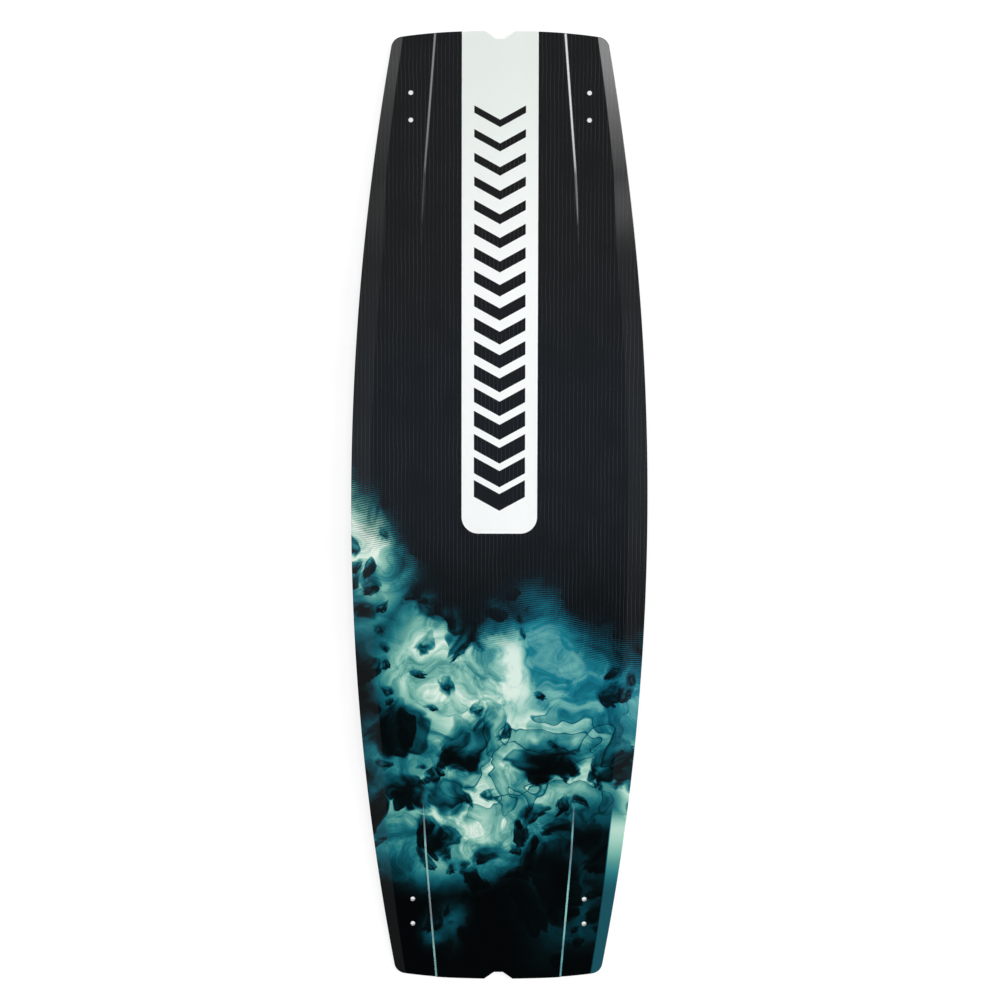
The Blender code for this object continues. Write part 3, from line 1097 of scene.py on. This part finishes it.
def deck_print():
    """Black like the base, with a little of the cloud's blue towards the rear."""
    made, shader, (x, y, _) = new_material("deck_print_satin")
    black = pin_lined(x, y, 31)
    haze = rise(noise(x, y, 6.0, 33, 5.0), -0.2, 0.7) * rise(y, -0.15, -0.60)
    wear = noise(x, y, 80.0, 34, 4.0)
    grain = noise(x, y, 1500.0, 35)
    finish_surface(shader, blend(black, HAZE_BLUE, haze), 0.30 + 0.06 * wear, grain, 0.00002)
    return made


def fibre_laminate():
    """Resin-soaked glass cloth with its bundles at 45 degrees to the board."""
    made, shader, (x, y, _) = new_material("glass_fibre_laminate")
    first, second = stripes(x + y, CLOTH_PITCH), stripes(x - y, CLOTH_PITCH)
    over = rise(first - second, -0.2, 0.2)
    weave = between(first, second, over)
    cloud = noise(x, y, 40.0, 41, 4.0)
    colour = blend(*CLOTH, rise(weave + cloud * 0.3, 0.1, 0.9))
    finish_surface(shader, colour, 0.32 + 0.08 * cloud, weave, 0.00005)
    return made


def machined_plastic(name, tones, seed):
    """ABS with the fine marks that a cutter leaves along its travel."""
    made, shader, (x, y, z) = new_material(name)
    marks = noise(x * 6.0, y * 0.12, 400.0, seed, 3.0, z=z * 6.0)
    mottle = noise(x, y, 35.0, seed + 1, 3.0, z=z)
    colour = blend(*tones, rise(mottle + marks * 0.4, -0.8, 0.8))
    finish_surface(shader, colour, 0.38 + 0.08 * marks, marks, 0.00003)
    return made


def paulownia():
    """Pale wood with straight grain along the board, a little different in each strip."""
    made, shader, (x, y, z) = new_material("paulownia_core")
    strip = calculate("FLOOR", x / STRIP_PITCH + 0.5)
    wander = x + noise(x, y, 3.0, 51, 2.0, z=strip * 0.7) * 0.006
    rings = noise(wander, y * 0.03, 170.0, 52, 3.0, z=strip * 1.3)
    pores = rise(noise(x, y * 0.02, 1400.0, 53, 2.0, z=z), 0.15, 0.5)
    colour = blend(*WOOD, rise(rings, -0.6, 0.7))
    colour = blend(colour, WOOD_PORES, pores * 0.5)
    finish_surface(shader, colour, 0.62 + 0.12 * pores, rings - pores, 0.00008)
    return made


def turned_steel():
    """Stainless steel with turning marks."""
    made, shader, (x, y, z) = new_material("stainless_insert")
    shader.inputs["Metallic"].default_value = 1.0
    marks = noise(x * 0.3, y * 0.3, 900.0, 61, 3.0, z=z * 20.0)
    stain = noise(x, y, 120.0, 62, 3.0, z=z)
    colour = blend(*STEEL, rise(stain, -0.6, 0.6))
    finish_surface(shader, colour, 0.26 + 0.08 * marks, marks, 0.00001)
    return made


# The studio


def make_floor():
    size = FLOOR_SIZE / 2
    mesh = bpy.data.meshes.new("studio_floor")
    corners = [(-size, -size), (size, -size), (size, size), (-size, size)]
    mesh.from_pydata([(x, y, FLOOR_Z) for x, y in corners], [], [(0, 1, 2, 3)])
    made, shader, (x, y, _) = new_material("pale_floor")
    grain = noise(x, y, 12.0, 71, 3.0)
    finish_surface(shader, blend(FLOOR_DARK, FLOOR_LIGHT, rise(grain, -1.0, 1.0)), 0.9, grain, 0.0001)
    shader.inputs["Emission Color"].default_value = (1.0, 1.0, 1.0, 1.0)
    shader.inputs["Emission Strength"].default_value = FLOOR_GLOW
    mesh.materials.append(made)
    floor = bpy.data.objects.new("studio_floor", mesh)
    bpy.context.scene.collection.objects.link(floor)
    floor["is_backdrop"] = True


def side_lamp(across, along, up, side, place, radiance):
    """A tall lamp beside the board. The walls of the channel steps mirror it."""
    width = rise(size_of(along - place), *LAMP_EDGE)
    return width * rise(across * side, *LAMP_START) * rise(up, -0.02, 0.0) * radiance


def make_room():
    """A dim room: a ceiling that darkens to the rear, a glow in front beyond each rail, and lamps."""
    world = bpy.data.worlds.new("studio_room")
    world.use_nodes = True
    tree = world.node_tree
    across, along, up = coordinates(tree, "Generated")
    sideways, forward = across / most(up, LOWEST_UP), along / most(up, LOWEST_UP)

    ceiling = blend(CEILING_REAR, CEILING_MIDDLE, rise(forward, *CEILING_BLENDS[0]))
    ceiling = blend(ceiling, CEILING_FRONT, rise(forward, *CEILING_BLENDS[1]))
    walls = rise(length_of(sideways, forward * 0.7), *WALL_START)
    feed(tree.nodes["Background"].inputs["Color"], blend(ceiling, ROOM_WALLS, walls))

    beside = rise(size_of(sideways), *GLOW_INNER) * rise(size_of(sideways), *GLOW_OUTER)
    far = most((forward - GLOW_START) / GLOW_SPAN, 0.0)
    growth = least(calculate("POWER", far, GLOW_POWER), GLOW_LIMIT)
    glow = between(GLOW_LEFT, GLOW_RIGHT, rise(sideways, -0.1, 0.1))
    lamps = (glow * growth + GLOW_REST) * beside
    for side, place, radiance in SIDE_LAMPS:
        lamps = lamps + side_lamp(across, along, up, side, place, radiance)
    lit = tree.nodes.new("ShaderNodeBackground")
    feed(lit.inputs["Strength"], lamps)
    both = tree.nodes.new("ShaderNodeAddShader")
    tree.links.new(tree.nodes["Background"].outputs[0], both.inputs[0])
    tree.links.new(lit.outputs[0], both.inputs[1])
    tree.links.new(both.outputs[0], tree.nodes["World Output"].inputs["Surface"])
    bpy.context.scene.world = world


def make_camera():
    """Looks squarely at the board's length from 8 degrees towards its front tip."""
    data = bpy.data.cameras.new("camera")
    data.lens = CAMERA_LENS
    data.shift_x, data.shift_y = CAMERA_SHIFT
    made = bpy.data.objects.new("camera", data)
    lean = Matrix.Rotation(-CAMERA_LEAN, 4, "X")
    roll = Matrix.Rotation(CAMERA_ROLL, 4, "Z")
    away = Matrix.Translation((0, 0, CAMERA_DISTANCE))
    made.matrix_world = Matrix.Translation((0, 0, PEAK)) @ lean @ roll @ away
    bpy.context.scene.collection.objects.link(made)
    bpy.context.scene.camera = made


def build():
    looks = {
        "base_print": base_print(),
        "deck_print": deck_print(),
        "laminate": fibre_laminate(),
        "rail_plastic": machined_plastic("black_abs", BLACK_ABS, 81),
        "plug_plastic": machined_plastic("plug_abs", PALE_ABS, 91),
        "insert_steel": turned_steel(),
    }
    build_skins(looks)
    build_rails(looks)
    build_fin_plugs(looks["plug_plastic"])
    build_inserts(looks["insert_steel"])
    wood = paulownia()
    for name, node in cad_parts.items():
        if name.startswith("core_strip"):
            node.material_slots[0].material = wood


bpy.context.scene.view_settings.view_transform = "Standard"
make_camera()
make_floor()
make_room()
build()

boxes = {"cad": cad_bounds, "visual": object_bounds()}
{name: [list(corner) for corner in box] for name, box in boxes.items()}
